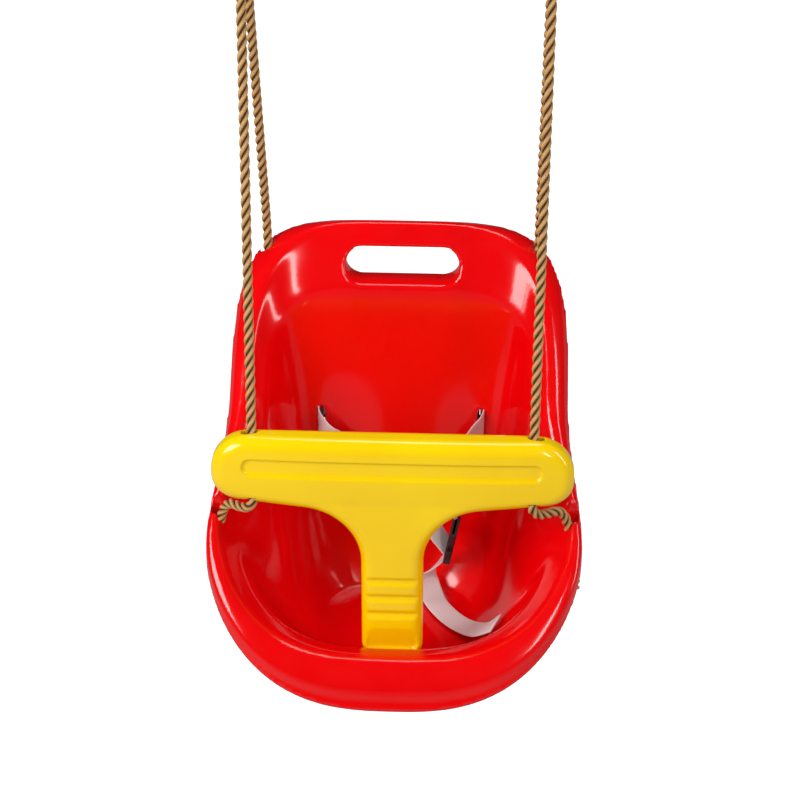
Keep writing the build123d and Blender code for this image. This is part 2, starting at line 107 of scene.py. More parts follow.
def mesh_from(name: str, points: Iterable, faces: Iterable) -> bpy.types.Object:
    """Makes an object from points and faces.

    Args:
        name: the piece's name.
        points: corner positions in metres.
        faces: tuples of corner numbers.

    Returns:
        The new object, shaded smooth.
    """
    mesh = bpy.data.meshes.new(name)
    mesh.from_pydata([tuple(p) for p in points], [], [tuple(f) for f in faces])
    mesh.validate()
    shell = bmesh.new()
    shell.from_mesh(mesh)
    bmesh.ops.recalc_face_normals(shell, faces=shell.faces)
    shell.to_mesh(mesh)
    shell.free()
    mesh.shade_smooth()
    return add_object(name, mesh)


def closed_grid(rows: int, columns: int) -> list[tuple[int, ...]]:
    """Faces of a grid whose columns close on themselves.

    Args:
        rows: rows of corners.
        columns: corners in each row.

    Returns:
        Faces, with a cap over the first row and the last.
    """
    faces: list[tuple[int, ...]] = []
    for row in range(rows - 1):
        here, there = row * columns, (row + 1) * columns
        for column in range(columns):
            right = (column + 1) % columns
            faces.append((here + column, here + right, there + right, there + column))
    faces.append(tuple(reversed(range(columns))))
    faces.append(tuple(range((rows - 1) * columns, rows * columns)))
    return faces


def settle(piece: bpy.types.Object) -> None:
    """Applies every modifier of a piece to its mesh."""
    graph = bpy.context.evaluated_depsgraph_get()
    graph.update()
    mesh = bpy.data.meshes.new_from_object(piece.evaluated_get(graph))
    old = piece.data
    piece.modifiers.clear()
    piece.data = mesh
    bpy.data.meshes.remove(old)


def soften(piece: bpy.types.Object, voxel: float, rounds: int) -> None:
    """Remeshes a piece evenly and rounds its edges.

    Args:
        piece: the object to change.
        voxel: size of the new mesh, in metres.
        rounds: how many times the mesh is smoothed.
    """
    remesh = piece.modifiers.new("even", "REMESH")
    remesh.mode = "VOXEL"
    remesh.voxel_size = voxel
    remesh.use_smooth_shade = True
    rounding = piece.modifiers.new("round", "SMOOTH")
    rounding.factor = 0.5
    rounding.iterations = rounds
    settle(piece)


def carve(piece: bpy.types.Object, cutters: Sequence[bpy.types.Object]) -> None:
    """Cuts every cutter out of a piece and removes the cutters.

    Args:
        piece: the object to cut.
        cutters: closed meshes, which may not touch each other.
    """
    for cutter in cutters:
        cut = piece.modifiers.new(cutter.name, "BOOLEAN")
        cut.operation = "DIFFERENCE"
        cut.solver = "EXACT"
        cut.object = cutter
    settle(piece)
    for cutter in cutters:
        bpy.data.objects.remove(cutter)


def curve_points(route: Sequence[Vector], name: str) -> np.ndarray:
    """Reads points from a smooth NURBS line through a route.

    Args:
        route: given control points, in metres.
        name: name of the passing curve.

    Returns:
        Points along the line.
    """
    curve = bpy.data.curves.new(name, "CURVE")
    curve.dimensions = "3D"
    curve.resolution_u = 24
    spline = curve.splines.new("NURBS")
    spline.points.add(len(route) - 1)
    for point, where in zip(spline.points, route):
        point.co = (*where, 1.0)
    spline.order_u = 3
    spline.use_endpoint_u = True
    holder = bpy.data.objects.new(name, curve)
    bpy.context.scene.collection.objects.link(holder)
    graph = bpy.context.evaluated_depsgraph_get()
    mesh = bpy.data.meshes.new_from_object(holder.evaluated_get(graph))
    points = np.array([v.co[:] for v in mesh.vertices])
    bpy.data.meshes.remove(mesh)
    bpy.data.objects.remove(holder)
    bpy.data.curves.remove(curve)
    return points


def even_points(points: np.ndarray, step: float) -> np.ndarray:
    """Spaces points evenly along the line that they draw.

    Args:
        points: points of a line, in metres.
        step: wanted distance between points, in metres.

    Returns:
        Evenly spaced points with the same ends.
    """
    runs = np.linalg.norm(np.diff(points, axis=0), axis=1)
    keep = np.concatenate([[True], runs > 1e-9])
    points = points[keep]
    along = np.concatenate([[0.0], np.cumsum(np.linalg.norm(np.diff(points, axis=0), axis=1))])
    count = max(int(round(along[-1] / step)), 2)
    places = np.linspace(0.0, along[-1], count + 1)
    return np.stack([np.interp(places, along, points[:, axis]) for axis in range(3)], axis=1)


def travelling_frames(points: np.ndarray) -> tuple[np.ndarray, np.ndarray, np.ndarray]:
    """Carries a pair of cross directions along a line without twisting them.

    Args:
        points: evenly spaced points.

    Returns:
        The direction along the line and two directions across it, at each point.
    """
    along = np.gradient(points, axis=0)
    along /= np.linalg.norm(along, axis=1)[:, None]
    first = np.cross(along[0], (1.0, 0.0, 0.0))
    if np.linalg.norm(first) < 0.1:
        first = np.cross(along[0], (0.0, 1.0, 0.0))
    across = np.zeros_like(points)
    across[0] = first / np.linalg.norm(first)
    for number in range(1, len(points)):
        carried = across[number - 1] - along[number] * np.dot(across[number - 1], along[number])
        across[number] = carried / np.linalg.norm(carried)
    return along, across, np.cross(along, across)


# ---------------------------------------------------------------- finishes


class Shader:
    """A node tree with one glossy surface and short calls to add to it."""

    def __init__(self, name: str) -> None:
        """Starts a material of that name."""
        self.material = bpy.data.materials.new(name)
        self.material.use_nodes = True
        self.nodes = self.material.node_tree.nodes
        self.links = self.material.node_tree.links
        self.surface = self.nodes["Principled BSDF"]

    def set(self, **values: object) -> None:
        """Sets sockets of the surface, with underscores for spaces."""
        for name, value in values.items():
            self.surface.inputs[name.replace("_", " ")].default_value = value

    def node(self, kind: str, **values: object) -> bpy.types.Node:
        """Adds a node and sets its sockets.

        Args:
            kind: the node's type name.
            values: socket values, with underscores for spaces.

        Returns:
            The new node.
        """
        made = self.nodes.new(kind)
        for name, value in values.items():
            made.inputs[name.replace("_", " ")].default_value = value
        return made

    def join(self, source: bpy.types.NodeSocket, target: bpy.types.NodeSocket) -> None:
        """Links two sockets."""
        self.links.new(source, target)

    def coordinates(self, output: str = "Object") -> bpy.types.NodeSocket:
        """Texture coordinates that stay on the piece."""
        return self.nodes.new("ShaderNodeTexCoord").outputs[output]

    def noise(self, where: bpy.types.NodeSocket, scale: float, detail: float = 3.0) -> bpy.types.NodeSocket:
        """Noise from 0 to 1 at a scale per metre."""
        texture = self.node("ShaderNodeTexNoise", Scale=scale, Detail=detail)
        self.join(where, texture.inputs["Vector"])
        return texture.outputs["Fac"]

    def ramp(
        self, source: bpy.types.NodeSocket, low: Sequence, high: Sequence, ends: Sequence[float] = (0.3, 0.7)
    ) -> bpy.types.NodeSocket:
        """Turns a value into a blend of two colours.

        Args:
            source: value from 0 to 1.
            low: colour at the lower end.
            high: colour at the upper end.
            ends: where the blend begins and ends.

        Returns:
            The colour socket.
        """
        ramp = self.nodes.new("ShaderNodeValToRGB")
        ramp.color_ramp.elements[0].position = ends[0]
        ramp.color_ramp.elements[1].position = ends[1]
        ramp.color_ramp.elements[0].color = (*low, 1.0)
        ramp.color_ramp.elements[1].color = (*high, 1.0)
        self.join(source, ramp.inputs["Fac"])
        return ramp.outputs["Color"]

    def spread(self, source: bpy.types.NodeSocket, low: float, high: float) -> bpy.types.NodeSocket:
        """Maps a value from 0 to 1 onto low to high."""
        mapped = self.nodes.new("ShaderNodeMapRange")
        mapped.inputs["To Min"].default_value = low
        mapped.inputs["To Max"].default_value = high
        self.join(source, mapped.inputs["Value"])
        return mapped.outputs["Result"]

    def bump(
        self, height: bpy.types.NodeSocket, strength: float, distance: float,
        under: bpy.types.NodeSocket | None = None,
    ) -> bpy.types.NodeSocket:
        """Adds relief to the surface.

        Args:
            height: the relief's height from 0 to 1.
            strength: how much of it shows.
            distance: its depth in metres.
            under: an earlier relief's normal.

        Returns:
            The new normal.
        """
        relief = self.node("ShaderNodeBump", Strength=strength, Distance=distance)
        self.join(height, relief.inputs["Height"])
        if under is not None:
            self.join(under, relief.inputs["Normal"])
        return relief.outputs["Normal"]


@dataclass(frozen=True)
class GlossyMoulding:
    """Blow-moulded glossy plastic with a faint orange-peel skin."""

    name: str
    deep: tuple[float, float, float]
    light: tuple[float, float, float]
    roughness: float = 0.13
    glow: float = 0.02

    def material(self) -> bpy.types.Material:
        """Builds the material."""
        shader = Shader(self.name)
        where = shader.coordinates()
        shader.set(
            Specular_IOR_Level=0.45, Coat_Weight=0.25, Coat_Roughness=0.04,
            Subsurface_Weight=self.glow, Subsurface_Scale=0.004,
        )
        shader.surface.inputs["Subsurface Radius"].default_value = (1.0, 0.35, 0.2)
        clouds = shader.noise(where, 9.0)
        shader.join(shader.ramp(clouds, self.deep, self.light), shader.surface.inputs["Base Color"])
        smudges = shader.noise(where, 38.0, 5.0)
        rough = shader.spread(smudges, self.roughness - 0.05, self.roughness + 0.08)
        shader.join(rough, shader.surface.inputs["Roughness"])
        waves = shader.bump(shader.noise(where, 26.0, 1.0), 0.10, 0.004)
        skin = shader.bump(shader.noise(where, 900.0, 2.0), 0.06, 0.0003, waves)
        shader.join(skin, shader.surface.inputs["Normal"])
        return shader.material


@dataclass(frozen=True)
class TwistedFibre:
    """Polypropylene rope strand, with yarns that run round the strand and painted shade in the valleys
    between strands.
    """

    name: str
    # Dark end of the colour: the yarns' darker bands and painted shade where the strands meet.
    yarn_and_valley_shade: tuple[float, float, float] = (0.09, 0.028, 0.003)
    light: tuple[float, float, float] = (0.88, 0.50, 0.17)
    yarns: float = 7.0

    def material(self) -> bpy.types.Material:
        """Builds the material on the strand's own coordinates."""
        shader = Shader(self.name)
        across = shader.coordinates("UV")
        yarn = shader.nodes.new("ShaderNodeTexWave")
        yarn.wave_type = "BANDS"
        yarn.bands_direction = "DIAGONAL"
        yarn.inputs["Scale"].default_value = self.yarns
        yarn.inputs["Distortion"].default_value = 1.2
        yarn.inputs["Detail"].default_value = 2.0
        shader.join(across, yarn.inputs["Vector"])
        fibres = shader.noise(shader.coordinates(), 1400.0, 4.0)
        mixed = shader.nodes.new("ShaderNodeMix")
        mixed.inputs["Factor"].default_value = 0.35
        shader.join(yarn.outputs["Fac"], mixed.inputs["A"])
        shader.join(fibres, mixed.inputs["B"])
        # Painted shade: the colour darkens towards the side of each strand that faces the rope's middle, in
        # the valleys between strands.
        valley_shade_mask = shader.nodes.new("ShaderNodeSeparateXYZ")
        shader.join(across, valley_shade_mask.inputs["Vector"])
        deep = shader.nodes.new("ShaderNodeMath")
        deep.operation = "MULTIPLY"
        shader.join(shader.spread(mixed.outputs["Result"], 0.55, 1.15), deep.inputs[0])
        shader.join(valley_shade_mask.outputs["X"], deep.inputs[1])
        value = deep.outputs["Value"]
        # The ramp's dark end is both the yarn bands' darker colour and the painted valley shade; its light
        # end is the strand crests.
        tint = shader.ramp(value, self.yarn_and_valley_shade, self.light, (0.42, 0.98))
        shader.join(tint, shader.surface.inputs["Base Color"])
        shader.join(shader.spread(fibres, 0.38, 0.62), shader.surface.inputs["Roughness"])
        shader.set(Sheen_Weight=0.05, Sheen_Roughness=0.4, Specular_IOR_Level=0.5)
        relief = shader.bump(value, 0.6, 0.0006)
        shader.join(relief, shader.surface.inputs["Normal"])
        return shader.material


@dataclass(frozen=True)
class WovenWebbing:
    """White webbing in a fine twill."""

    name: str

    def material(self) -> bpy.types.Material:
        """Builds the material on the strap's own coordinates."""
        shader = Shader(self.name)
        across = shader.coordinates("UV")
        weave = shader.nodes.new("ShaderNodeTexWave")
        weave.bands_direction = "DIAGONAL"
        weave.inputs["Scale"].default_value = 5.5
        weave.inputs["Distortion"].default_value = 0.4
        shader.join(across, weave.inputs["Vector"])
        ribs = shader.nodes.new("ShaderNodeTexWave")
        ribs.bands_direction = "Y"
        ribs.inputs["Scale"].default_value = 9.0
        shader.join(across, ribs.inputs["Vector"])
        mixed = shader.nodes.new("ShaderNodeMix")
        mixed.inputs["Factor"].default_value = 0.45
        shader.join(weave.outputs["Fac"], mixed.inputs["A"])
        shader.join(ribs.outputs["Fac"], mixed.inputs["B"])
        colour = shader.ramp(mixed.outputs["Result"], (0.62, 0.58, 0.58), (0.93, 0.92, 0.92), (0.1, 0.6))
        shader.join(colour, shader.surface.inputs["Base Color"])
        soil = shader.noise(shader.coordinates(), 60.0)
        shader.join(shader.spread(soil, 0.6, 0.8), shader.surface.inputs["Roughness"])
        shader.set(Sheen_Weight=0.2, Sheen_Roughness=0.5)
        relief = shader.bump(mixed.outputs["Result"], 0.6, 0.0004)
        shader.join(relief, shader.surface.inputs["Normal"])
        return shader.material


@dataclass(frozen=True)
class BuckleNylon:
    """Black nylon with a fine spark-eroded texture."""

    name: str

    def material(self) -> bpy.types.Material:
        """Builds the material."""
        shader = Shader(self.name)
        where = shader.coordinates()
        grain = shader.noise(where, 2200.0, 2.0)
        wear = shader.noise(where, 140.0)
        tint = shader.ramp(wear, (0.012, 0.012, 0.013), (0.03, 0.03, 0.032))
        shader.join(tint, shader.surface.inputs["Base Color"])
        shader.join(shader.spread(grain, 0.38, 0.55), shader.surface.inputs["Roughness"])
        shader.join(shader.bump(grain, 0.35, 0.0002), shader.surface.inputs["Normal"])
        return shader.material


@dataclass(frozen=True)
class DrawnMetal:
    """Bright metal with drawing lines and light tarnish."""

    name: str
    colour: tuple[float, float, float]
    roughness: float

    def material(self) -> bpy.types.Material:
        """Builds the material."""
        shader = Shader(self.name)
        where = shader.coordinates()
        stretched = shader.nodes.new("ShaderNodeMapping")
        stretched.inputs["Scale"].default_value = (1.0, 1.0, 9.0)
        shader.join(where, stretched.inputs["Vector"])
        lines = shader.noise(stretched.outputs["Vector"], 420.0, 4.0)
        tarnish = shader.noise(where, 70.0)
        darker = tuple(part * 0.72 for part in self.colour)
        shader.join(shader.ramp(tarnish, darker, self.colour), shader.surface.inputs["Base Color"])
        shader.set(Metallic=1.0)
        rough = shader.spread(lines, self.roughness - 0.06, self.roughness + 0.1)
        shader.join(rough, shader.surface.inputs["Roughness"])
        shader.join(shader.bump(lines, 0.15, 0.0002), shader.surface.inputs["Normal"])
        return shader.material


@dataclass(frozen=True)
class Finishes:
    """Every finish of the swing."""

    red: bpy.types.Material
    yellow: bpy.types.Material
    rope: bpy.types.Material
    webbing: bpy.types.Material
    black: bpy.types.Material
    steel: bpy.types.Material
    sleeve: bpy.types.Material

    @classmethod
    def mixed(cls) -> "Finishes":
        """Builds the materials once."""
        return cls(
            red=GlossyMoulding("red_moulding", (0.78, 0.0, 0.001), (0.86, 0.0, 0.002)).material(),
            yellow=GlossyMoulding("yellow_moulding", (0.94, 0.60, 0.0), (1.0, 0.68, 0.0)).material(),
            rope=TwistedFibre("rope_fibre").material(),
            webbing=WovenWebbing("woven_webbing").material(),
            black=BuckleNylon("buckle_nylon").material(),
            steel=DrawnMetal("ring_steel", (0.62, 0.63, 0.65), 0.28).material(),
            sleeve=DrawnMetal("ferrule_metal", (0.76, 0.76, 0.77), 0.34).material(),
        )


def dress(piece: bpy.types.Object, material: bpy.types.Material) -> None:
    """Gives a piece one material, through its object's slots."""
    if not piece.material_slots:
        piece.data.materials.append(material)
    for number in range(len(piece.material_slots)):
        piece.material_slots[number].link = "OBJECT"
        piece.material_slots[number].material = material


# -------------------------------------------------------------------- seat


@dataclass(frozen=True)
class MouldLine:
    """One closed line of the seat's moulding, in millimetres."""

    half_back: float
    half_arm: float
    front: float
    back: float
    front_z: float
    back_z: float
    full_back: float
    full_front: float
    swell: float = 0.0

    def blended(self, other: "MouldLine", share: float, bulge: float) -> "MouldLine":
        """A line part of the way to another, pushed out.

        Args:
            other: the line it goes towards.
            share: how far it goes, from 0 to 1.
            bulge: how far it is pushed out, in millimetres.

        Returns:
            The new line.
        """
        names = self.__dataclass_fields__
        values = {n: getattr(self, n) + (getattr(other, n) - getattr(self, n)) * share for n in names}
        values["half_back"] += bulge
        values["half_arm"] += bulge
        values["front"] -= bulge
        return MouldLine(**values)

    def point(self, turn: float) -> np.ndarray:
        """The line's point at an angle from the back's middle.

        Args:
            turn: angle in radians.

        Returns:
            x, y, z in millimetres.
        """
        ahead, aside = math.cos(turn), math.sin(turn)
        full = self.full_back if ahead > 0 else self.full_front
        reach = (abs(ahead) ** full + abs(aside) ** full) ** (-1 / full)
        q = ahead * reach
        half = self.half_back + (self.half_arm - self.half_back) * smooth_step((0.25 - q) / 0.8)
        y = (self.front + self.back) / 2 + q * (self.back - self.front) / 2
        z = (self.front_z + self.back_z) / 2 + q * (self.back_z - self.front_z) / 2
        if q < 0:
            z += 4 * self.swell * q * q * (1 - q * q)
        return np.array((half * aside * reach, y, z))


@dataclass
class BucketSeat:
    """The blow-moulded bucket seat with its holes."""

    top: float = 437.0
    flange_half_back: float = 176.0
    flange_half_arm: float = 200.0
    flange_front: float = -175.0
    flange_back: float = 159.0
    flange_front_z: float = 41.0
    lip_rise: float = 49.0
    back_drop: float = 9.0
    shelf: tuple[float, float, float, float] = (23.0, 14.0, 25.0, 21.0)
    rim: tuple[float, float, float, float] = (18.0, 20.0, 31.0, 25.0)
    rim_drop: float = 8.0
    ledge_drop: float = 63.0
    under_inset: float = 18.0
    under_front: float = 36.0
    under_back: float = 9.0
    under_drop: tuple[float, float] = (20.0, 33.0)
    roll_bulge: float = 5.0
    swell: float = 6.0
    floor_z: float = 40.0
    columns: int = 168
    steps: int = 7
    rounding: tuple[float, ...] = (0, 30, 40, 10, 12, 16, 3, 5, 14, 60, 8, 0)
    hand_hole: tuple[float, float, float] = (117.0, 34.0, 394.0)
    strap_slot: tuple[float, float, float, float] = (84.0, 225.0, 6.0, 30.0)
    arm_hole: Point = (180.0, -52.0, 204.0)
    shoulder_hole: Point = (140.0, 135.0, 405.0)
    rope_hole_d: float = 13.0
    voxel: float = 0.0027

    def lines(self) -> list[MouldLine]:
        """The moulding's lines from the floor over the rim to the underside."""
        swell = self.swell
        flange = MouldLine(
            self.flange_half_back, self.flange_half_arm, self.flange_front, self.flange_back,
            self.flange_front_z, self.top - self.back_drop, 4.8, 2.75, swell,
        )
        at_back, at_arm, at_front, at_rear = self.shelf
        valley_shade_mask = MouldLine(
            flange.half_back - at_back, flange.half_arm - at_arm,
            flange.front + at_front, flange.back - at_rear,
            flange.front_z + self.lip_rise, self.top, 3.8, 3.2, swell,
        )
        at_back, at_arm, at_front, at_rear = self.rim
        edge = MouldLine(
            valley_shade_mask.half_back - at_back, valley_shade_mask.half_arm - at_arm,
            valley_shade_mask.front + at_front, valley_shade_mask.back - at_rear,
            valley_shade_mask.front_z - self.rim_drop, self.top - self.ledge_drop, 4.8, 3.0, swell,
        )
        cove = MouldLine(104, 112, -103, 80, self.floor_z + 14, self.floor_z + 36, 3.4, 2.8)
        floor = MouldLine(82, 84, -86, 62, self.floor_z, self.floor_z, 3.0, 2.6)
        front_drop, back_drop = self.under_drop
        under = MouldLine(
            flange.half_back - self.under_inset, flange.half_arm - self.under_inset,
            flange.front + self.under_front, flange.back - self.under_back,
            flange.front_z - front_drop, self.top - back_drop, 4.4, 2.8, swell,
        )
        hem = MouldLine(105, 105, -119, 105, 9, 9, 3.0, 2.5)
        base = MouldLine(96, 96, -110, 96, 0, 0, 2.8, 2.5)
        wall = cove.blended(edge, 0.5, 1)
        wall = replace(wall, full_back=5.6)
        roll = valley_shade_mask.blended(flange, 0.5, self.roll_bulge)
        crease = valley_shade_mask.blended(flange, 0.88, -1.5)
        outer = hem.blended(under, 0.5, 3)
        return [floor, cove, wall, edge, valley_shade_mask, roll, crease, flange, under, outer, hem, base]

    def skin(self) -> Grid:
        """Rows of points over the whole skin, with an arc at each of the moulding's lines."""
        turns = np.linspace(0, 2 * math.pi, self.columns, endpoint=False)
        keys = np.array([[line.point(t) for t in turns] for line in self.lines()])
        rows = [keys[0]]
        for row in range(1, len(keys) - 1):
            before, here, after = keys[row - 1], keys[row], keys[row + 1]
            into = np.linalg.norm(here - before, axis=1)[:, None]
            out = np.linalg.norm(after - here, axis=1)[:, None]
            start = here + (before - here) * np.minimum(self.rounding[row] / into, 0.48)
            end = here + (after - here) * np.minimum(self.rounding[row] / out, 0.48)
            for step in range(self.steps + 1):
                t = step / self.steps
                rows.append((1 - t) ** 2 * start + 2 * t * (1 - t) * here + t**2 * end)
        rows.append(keys[-1])
        return np.array(rows)

    def slot_cutter(
        self, name: str, width: float, height: float, centre: Point, flares: Sequence
    ) -> bpy.types.Object:
        """A rounded slot that runs from front to back and widens at its mouths.

        Args:
            name: the cutter's name.
            width: the slot's width in millimetres.
            height: its height in millimetres.
            centre: its middle in millimetres.
            flares: pairs of y offset and widening in millimetres.

        Returns:
            The cutter.
        """
        corners = []
        ring = 32
        narrow = min(width, height) / 2
        reach_x, reach_z = width / 2 - narrow, height / 2 - narrow
        for offset, wider in flares:
            radius = narrow + wider
            for number in range(ring):
                angle = 2 * math.pi * (number + 0.5) / ring
                aside, rise = math.cos(angle), math.sin(angle)
                x = math.copysign(reach_x, aside) + radius * aside
                z = math.copysign(reach_z, rise) + radius * rise
                corners.append(place((centre[0] + x, centre[1] + offset, centre[2] + z)))
        return mesh_from(name, corners, closed_grid(len(flares), ring))

    def pin_cutter(self, name: str, centre: Point, radius: float) -> bpy.types.Object:
        """An upright round cutter through the flange.

        Args:
            name: the cutter's name.
            centre: its middle in millimetres.
            radius: its radius in millimetres.

        Returns:
            The cutter.
        """
        ring = 28
        half_length = 60.0
        corners = []
        for rise in (-half_length, half_length):
            for number in range(ring):
                angle = 2 * math.pi * number / ring
                x, y = radius * math.cos(angle), radius * math.sin(angle)
                corners.append(place((centre[0] + x, centre[1] + y, centre[2] + rise)))
        return mesh_from(name, corners, closed_grid(2, ring))

    def notch_cutter(self) -> bpy.types.Object:
        """The block that makes room for the foot of the safety bar."""
        low, high = (-32.0, -113.5, 61.7), (32.0, -46.0, 151.0)
        corners = [place((x, y, z)) for z in (low[2], high[2]) for x, y in (
            (low[0], low[1]), (high[0], low[1]), (high[0], high[1]), (low[0], high[1]))]
        return mesh_from("notch", corners, closed_grid(2, 4))

    def cutters(self) -> list[bpy.types.Object]:
        """Every hole's cutter."""
        width, height, z = self.hand_hole
        flares = [(-60, 24), (-26, 7), (-18, 2.2), (-10, 0.2), (0, 0), (10, 1.5), (22, 8), (60, 20)]
        made = [self.slot_cutter("hand", width, height, (0, 134, z), flares), self.notch_cutter()]
        x, slot_z, slot_width, slot_height = self.strap_slot
        for side in Side:
            ends = [(-60, 0), (60, 0)]
            centre = (side.value * x, 118, slot_z)
            made.append(self.slot_cutter(f"slot_{side.word}", slot_width, slot_height, centre, ends))
            for label, hole in (("arm", self.arm_hole), ("shoulder", self.shoulder_hole)):
                centre = (side.value * hole[0], hole[1], hole[2])
                made.append(self.pin_cutter(f"{label}_{side.word}", centre, self.rope_hole_d / 2))
        return made

    def build(self, finishes: Finishes) -> bpy.types.Object:
        """Makes the seat's skin, cuts it and rounds it.

        Args:
            finishes: the swing's materials.

        Returns:
            The seat.
        """
        rows = self.skin()
        corners = [place(p) for p in rows.reshape(-1, 3)]
        seat = mesh_from("bucket_seat", corners, closed_grid(len(rows), self.columns))
        carve(seat, self.cutters())
        soften(seat, self.voxel, 4)
        dress(seat, finishes.red)
        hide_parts("seat_shell")
        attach(seat, Body.SWING.value)
        return seat


# ------------------------------------------------------------- safety bar


@dataclass
class SafetyBar:
    """The T-shaped bar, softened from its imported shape."""

    voxel: float = 0.0015
    rounds: int = 6
    end_bow: float = 5.0
    edge_bow: float = 2.0
    middle: tuple[float, float] = (-95.0, 277.0)
    half_size: Point = (178.0, 17.5, 35.0)

    def crown(self, mesh: bpy.types.Mesh) -> None:
        """Bows the front face back towards its ends and edges.

        Args:
            mesh: the bar's mesh in the frame.
        """
        middle_y, middle_z = self.middle[0] - HANG_BACK, self.middle[1] - HANG_HEIGHT
        half_width, half_depth, half_height = self.half_size
        for corner in mesh.vertices:
            x, y, z = (part / MM for part in corner.co)
            front = smooth_step((middle_y - y) / half_depth + 0.2)
            bow = self.end_bow * min(abs(x) / half_width, 1.0) ** 3
            edge = self.edge_bow * min(abs(z - middle_z) / half_height, 1.0) ** 2
            corner.co.y += (bow + edge) * front * MM

    def build(self, finishes: Finishes) -> bpy.types.Object:
        """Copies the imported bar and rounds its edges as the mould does.

        Args:
            finishes: the swing's materials.

        Returns:
            The bar.
        """
        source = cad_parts["t_bar"]
        bar = add_object("safety_bar", source.data.copy())
        bar.matrix_world = source.matrix_world.copy()
        bar.data.transform(bar.matrix_world)
        bar.matrix_world = Matrix.Identity(4)
        bar.data.materials.clear()
        soften(bar, self.voxel, self.rounds)
        self.crown(bar.data)
        dress(bar, finishes.yellow)
        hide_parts("t_bar")
        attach(bar, Body.BAR.value)
        return bar


# -------------------------------------------------------------------- rope


@dataclass
class TwistedRope:
    """Three-strand rope laid along a line."""

    diameter: float = 0.010
    lay: float = 0.034
    step: float = 0.0017
    sides: int = 10
    strands: int = 3

    def wrap(self, name: str, line: np.ndarray, material: bpy.types.Material) -> bpy.types.Object:
        """Winds the strands round a line.

        Args:
            name: the piece's name.
            line: points of the rope's middle, in metres.
            material: the strands' material.

        Returns:
            The rope as one mesh with strand coordinates.
        """
        points = even_points(line, self.step)
        _, across, up = travelling_frames(points)
        strand_r = self.diameter / 2 * 0.475
        centre_r = self.diameter / 2 - strand_r
        length = self.step * np.arange(len(points))
        corners, faces, uvs = [], [], []
        for strand in range(self.strands):
            turn = 2 * math.pi * (length / self.lay + strand / self.strands)
            outward = across * np.cos(turn)[:, None] + up * np.sin(turn)[:, None]
            middle = points + outward * centre_r
            along = np.gradient(middle, axis=0)
            along /= np.linalg.norm(along, axis=1)[:, None]
            two = np.cross(along, outward)
            two /= np.linalg.norm(two, axis=1)[:, None]
            one = np.cross(two, along)
            start = len(corners)
            for number in range(len(points)):
                for side in range(self.sides):
                    angle = 2 * math.pi * side / self.sides
                    lift = one[number] * math.cos(angle) + two[number] * math.sin(angle)
                    corners.append(middle[number] + lift * strand_r)
                    uvs.append((0.5 + 0.5 * math.cos(angle), length[number] * 90))
            for face in closed_grid(len(points), self.sides):
                faces.append(tuple(start + corner for corner in face))
        rope = mesh_from(name, corners, faces)
        layer = rope.data.uv_layers.new(name="along")
        for loop in rope.data.loops:
            layer.data[loop.index].uv = uvs[loop.vertex_index]
        dress(rope, material)
        return rope


@dataclass
class HangingRopes:
    """Both doubled ropes with their stopper knots."""

    rope: TwistedRope = field(default_factory=TwistedRope)
    diameter: float = 0.010
    length: float = 1.423
    knot_turns: float = 2.4
    front_knot: Point = (180.0, -52.0, 134.0)
    rear_knot: Point = (140.0, 135.0, 368.0)
    knot_radius: float = 6.0
    knot_rise: float = 8.6
    tail: float = 17.0

    def route(self, side: Side) -> list[Vector]:
        """The rope's route, from the front knot over the ring to the rear knot."""
        right = [
            (180.0, -52.0, 134.0), (180.0, -52.0, 215.0), (137.14, -103.7, 227.0), (137.4, -97.7, 260.0),
            (142.2, -14.6, 735.0), (143.0, 0.7, 820.0), (143.0, 0.7, 840.0),
            (143.0, -15.4, 897.1), (143.0, -4.2, 912.5), (143.0, 16.2, 912.5), (143.0, 27.4, 897.1),
            (143.0, 11.3, 840.0), (143.0, 11.3, 820.0), (142.4, 29.6, 760.0),
            (140.4, 119.9, 467.0), (140.0, 135.0, 416.0), (140.0, 135.0, 368.0),
        ]
        return [place((side.value * x, y, z)) for x, y, z in right]

    def knot_line(self, top: Point) -> np.ndarray:
        """The route of a barrel stopper knot and its tail below a point.

        Args:
            top: where the rope enters the knot, in millimetres.

        Returns:
            Points in metres.
        """
        points = []
        steps = 96
        height = self.knot_rise * self.knot_turns
        for number in range(steps + 1):
            t = number / steps
            swell = smooth_step(t / 0.18) * smooth_step((1 - t) / 0.18)
            angle = 2 * math.pi * self.knot_turns * t
            drop = 1.0 + (height - 2.0) * t
            radius = self.knot_radius * swell
            x, y = radius * math.cos(angle), radius * math.sin(angle)
            points.append((top[0] + x, top[1] + y, top[2] - drop))
        points.append((top[0], top[1], top[2] - height - self.tail * 0.5))
        points.append((top[0] + 1.0, top[1], top[2] - height - self.tail))
        return np.array([place(p)[:] for p in points])

    def knot(self, label: str, side: Side, top: Point, finishes: Finishes) -> bpy.types.Object:
        """One stopper knot with its short tail.

        Args:
            label: front or rear.
            side: the knot's side.
            top: where the rope enters it, in millimetres.
            finishes: the swing's materials.

        Returns:
            The knot.
        """
        rope = TwistedRope(step=0.0012, diameter=self.diameter * 0.93)
        line = self.knot_line(top)
        knot = rope.wrap(f"stopper_knot_{label}_{side.word}", line, finishes.rope)
        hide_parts(f"knot_{label}_{side.word}")
        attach(knot, Body.SWING.value)
        return knot

    def build(self, side: Side, finishes: Finishes) -> bpy.types.Object:
        """Lays one rope and ties its knots.

        Args:
            side: left or right.
            finishes: the swing's materials.

        Returns:
            The rope.
        """
        route = self.route(side)
        line = curve_points(route, f"route_{side.word}")
        rope = self.rope.wrap(f"doubled_rope_{side.word}", line, finishes.rope)
        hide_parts(f"rope_{side.word}")
        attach(rope, Body.SWING.value)
        knots = [
            self.knot(label, side, (side.value * top[0], top[1], top[2]), finishes)
            for label, top in (("front", self.front_knot), ("rear", self.rear_knot))
        ]
        return rope


# ----------------------------------------------------------------- harness


